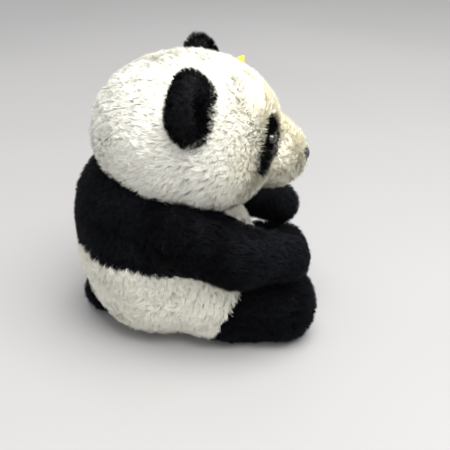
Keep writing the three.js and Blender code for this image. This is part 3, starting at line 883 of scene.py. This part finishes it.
# ------------------------------------------------------------------ embroidery
def thread_tube(points, radius, sides=6):
    """One thread as a closed tube through the points; returns vertices, quads and triangles."""
    pts = np.array(points, float)
    tan = unit(np.gradient(pts, axis=0))
    ref = np.array([0, -1.0, 0])
    a = unit(np.cross(tan, ref))
    b = np.cross(tan, a)
    k = len(pts)
    taper = np.ones(k)
    taper[0] = taper[-1] = 0.45
    ph = np.linspace(0, 2 * math.pi, sides, endpoint=False)
    v = pts[:, None] + radius * taper[:, None, None] * (np.cos(ph)[None, :, None] * a[:, None] + np.sin(ph)[None, :, None] * b[:, None])
    v = np.concatenate([v.reshape(-1, 3), pts[:1], pts[-1:]])
    idx = np.arange(k * sides).reshape(k, sides)
    q = np.stack([idx[:-1], np.roll(idx[:-1], -1, 1), np.roll(idx[1:], -1, 1), idx[1:]], -1).reshape(-1, 4)
    t = np.concatenate([np.stack([np.full(sides, k * sides), np.roll(idx[0], -1), idx[0]], -1),
                        np.stack([np.full(sides, k * sides + 1), idx[-1], np.roll(idx[-1], -1)], -1)])
    return v, q, t


def join_threads(name, lines, radius, material):
    V, Q, T, base = [], [], [], 0
    for ln in lines:
        v, q, t = thread_tube(ln, radius)
        V.append(v); Q.append(q + base); T.append(t + base)
        base += len(v)
    v = np.concatenate(V)
    v[:, 1] += FRAME_Y
    ob = mesh_object(name, v / 1000.0, np.concatenate(Q), np.concatenate(T))
    ob.data.materials.append(material)
    return ob


THREAD = cloth_material("black_thread", (0.020, 0.020, 0.024), (0.006, 0.006, 0.008), scale=2400, bump=0.25, roughness=0.42, sheen=0.3)


def on_muzzle_at(x, z, lift):
    x, z = np.atleast_1d(x).astype(float), np.atleast_1d(z).astype(float)
    d = np.tile([0.0, -1.0, 0.0], (len(x), 1))
    lo, hi = np.full(len(x), 40.0), np.full(len(x), 130.0)
    for _ in range(24):
        mid = (lo + hi) / 2
        ins = f_face(np.stack([x, -mid, z], -1)) < lift
        lo, hi = np.where(ins, mid, lo), np.where(ins, hi, mid)
    return np.stack([x, -(lo + hi) / 2, z], -1)


# satin stitches side by side fill the nose, each a little crowned
lines = []
for x in np.arange(-10.4, 10.5, 0.62):
    f = abs(x) / 10.4
    top = 182.4 - 2.2 * f ** 3
    bot = 170.2 + 8.4 * f ** 1.5
    if top - bot < 0.8:
        continue
    z = np.linspace(top, bot, 9) + rng.normal() * 0.12
    xx = x * (1 + 0.05 * np.sin(np.linspace(0, math.pi, 9))) + rng.normal() * 0.04
    lift = 0.6 + 3.2 * math.sqrt(max(0, 1 - f * f)) * np.sin(np.linspace(0.12, math.pi - 0.12, 9)) ** 0.6
    pts = on_muzzle_at(xx, z, 0.2)
    pts[:, 1] -= lift
    lines.append(pts)
nose = join_threads("nose_stitches", lines, 0.46, THREAD)
# padding under the stitches, in the thread material
un, zn = np.meshgrid(np.linspace(-1, 1, 25), np.linspace(0, 1, 15), indexing="ij")
fx = np.abs(un)
z_top, z_bot = 182.2 - 2.2 * fx ** 3, 170.4 + 8.4 * fx ** 1.5
px, pz = (un * 10.3).ravel(), (z_bot + (z_top - z_bot) * zn).ravel()
dome = np.sqrt(np.clip(1 - fx ** 2, 0, 1)) * np.sin(np.pi * np.clip(zn, 0.02, 0.98)) ** 0.6
front = on_muzzle_at(px, pz, 0.0)
back = front.copy()
front[:, 1] -= 0.3 + 3.0 * dome.ravel()
back[:, 1] += 1.5
ids = np.arange(un.size).reshape(un.shape)
f1 = np.stack([ids[:-1, :-1], ids[1:, :-1], ids[1:, 1:], ids[:-1, 1:]], -1).reshape(-1, 4)
f2 = f1[:, ::-1] + un.size
rim = np.concatenate([ids[:, 0], ids[-1, 1:], ids[-2::-1, -1], ids[0, -2:0:-1]])
f3 = np.stack([rim, np.roll(rim, -1), np.roll(rim, -1) + un.size, rim + un.size], -1)[:, ::-1]
vv = np.concatenate([front, back])
vv[:, 1] += FRAME_Y
pad = mesh_object("nose_padding", vv / 1000.0, np.concatenate([f1, f2, f3]))
pad.data.materials.append(THREAD)
tie(pad, "head", "black_thread")
tie(nose, "head", "black_thread", "nose_embroidery")
# mouth: short back stitches in three bows
lines = []


def stitch_row(path, step=3.0):
    path = np.array(path, float)
    seg = np.linalg.norm(np.diff(path, axis=0), axis=1)
    total = seg.sum()
    cum = np.concatenate([[0], np.cumsum(seg)])
    k = max(1, round(total / step))
    for i in range(k):
        u = np.linspace(total * i / k, total * (i + 1) / k * 0.985, 6)
        x = np.interp(u, cum, path[:, 0])
        z = np.interp(u, cum, path[:, 1])
        for shift in (-0.28, 0.28):
            pts = on_muzzle_at(x + shift, z, 1.0)
            pts[:, 1] -= 1.6 + 0.5 * np.sin(np.linspace(0, math.pi, 6))
            lines.append(pts)


stitch_row([(0, 170.2), (0, 163.2)])
for s in (-1, 1):
    stitch_row([(0, 163.2), (s * 2.0, 160.6), (s * 4.6, 159.3), (s * 7.4, 159.8), (s * 9.6, 161.6)])
mouth = join_threads("mouth_stitches", lines, 0.42, THREAD)
tie(mouth, "head", "black_thread", "mouth_stitching")

# ------------------------------------------------------------------ ribbon tab, folded over and sewn into the crown seam
TAB = cloth_material("yellow_ribbon", (0.86, 0.62, 0.03), (0.62, 0.40, 0.02), scale=1500, bump=0.3, roughness=0.6, sheen=0.3)
zz = np.linspace(300, 230, 1400)
col = np.stack([np.full(1400, 28.0), np.full(1400, -40.0), zz], -1)
base = col[np.argmax(f_head(col) < 0)]
prof = []
for k in range(13):
    a = math.pi * k / 12
    prof.append((-0.8 * math.cos(a), 8.6 + 0.8 * math.sin(a)))
prof = [(-0.7, -2.0), (-0.8, 2.0), (-0.8, 5.0)] + prof + [(0.8, 5.0), (0.8, 2.0), (0.7, -2.0)]
prof = np.array(prof)
ys = np.linspace(-3.2, 3.2, 9)
v = np.zeros((len(ys), len(prof), 3))
for i, y in enumerate(ys):
    bend = 0.03 * y * y
    v[i, :, 0] = base[0] + prof[:, 0] + prof[:, 1] * 0.22 + bend * 0.2
    v[i, :, 1] = base[1] + y
    v[i, :, 2] = base[2] + prof[:, 1] - 0.28 * y
idx = np.arange(v.shape[0] * v.shape[1]).reshape(v.shape[:2])
q = np.stack([idx[:-1, :-1], idx[1:, :-1], idx[1:, 1:], idx[:-1, 1:]], -1).reshape(-1, 4)
vv = v.reshape(-1, 3).copy()
vv[:, 1] += FRAME_Y
tab = mesh_object("ribbon_tab", vv / 1000.0, q)
tab.data.materials.append(TAB)
sol = tab.modifiers.new("thickness", "SOLIDIFY")
sol.thickness = 0.0004
tie(tab, "head", "woven_tab", "label_tab")


# ------------------------------------------------------------------ floor and light
def floor():
    s = 4.0
    me = bpy.data.meshes.new("floor")
    me.from_pydata([(-s, -s, 0), (s, -s, 0), (s, s, 0), (-s, s, 0)], [], [(0, 1, 2, 3)])
    ob = bpy.data.objects.new("floor", me)
    bpy.context.scene.collection.objects.link(ob)
    mat = bpy.data.materials.new("floor")
    nt, bs = nodes_of(mat)
    tc = nt.nodes.new("ShaderNodeTexCoord")
    ns = nt.nodes.new("ShaderNodeTexNoise")
    ns.inputs["Scale"].default_value = 1.3
    nt.links.new(tc.outputs["Object"], ns.inputs["Vector"])
    nt.links.new(ramp(nt, [(0.3, (0.325, 0.322, 0.319)), (0.7, (0.350, 0.347, 0.344))], ns.outputs["Fac"]), bs.inputs["Base Color"])
    bs.inputs["Roughness"].default_value = 0.55
    bs.inputs["Specular IOR Level"].default_value = 0.2
    me.materials.append(mat)


floor()


def area(name, loc, look, size, power, colour):
    li = bpy.data.lights.new(name, "AREA")
    li.energy = power
    li.size = size
    li.color = colour
    ob = bpy.data.objects.new(name, li)
    bpy.context.scene.collection.objects.link(ob)
    ob.location = loc
    ob.rotation_euler = (Vector(look) - Vector(loc)).to_track_quat("-Z", "Y").to_euler()


area("key", (-0.45, -0.45, 2.1), (0, 0, 0.12), 1.7, 98.0, (1.0, 0.985, 0.965))
area("fill", (-1.5, -0.3, 0.7), (0, 0, 0.1), 1.4, 6.5, (0.98, 0.985, 1.0))
world = bpy.data.worlds.new("world")
bpy.context.scene.world = world
world.use_nodes = True
world.node_tree.nodes["Background"].inputs[0].default_value = (0.97, 0.975, 1.0, 1)
world.node_tree.nodes["Background"].inputs[1].default_value = 0.74
bpy.context.scene.view_settings.view_transform = "Standard"
